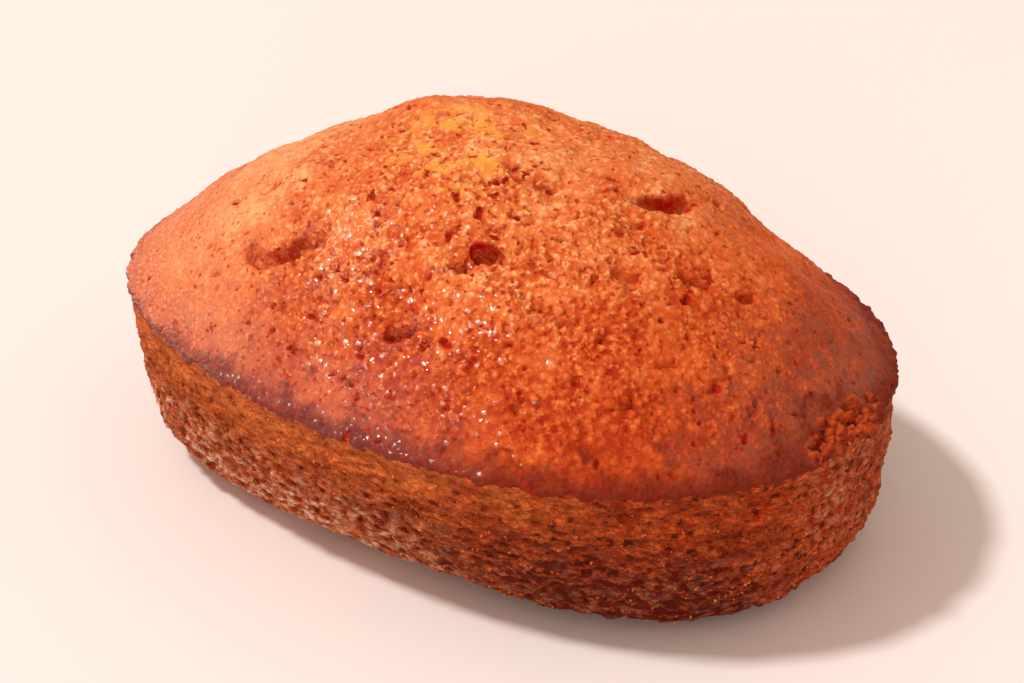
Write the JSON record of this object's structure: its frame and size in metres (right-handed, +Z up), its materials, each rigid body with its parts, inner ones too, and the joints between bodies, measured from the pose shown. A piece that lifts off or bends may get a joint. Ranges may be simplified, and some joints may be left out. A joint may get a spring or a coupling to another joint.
{
  "type": "financier cake",
  "caption": "Small oval almond cake, baked in a shallow tapered tin and turned out whole, with a high domed crust, a thin seam at the rim and a flat base.",
  "frame": {"origin": "under the middle of the cake's box, on the surface that it stands on", "axes": "+X along the cake's long axis, +Z up through the dome"},
  "size_m": [0.08, 0.055, 0.0385],
  "materials": {
    "baked_cake": "moist baked crust, satin on top and matte crumb on the side"
  },
  "bodies": {
    "root": {"cake": "baked_cake"}
  },
  "joints": []
}
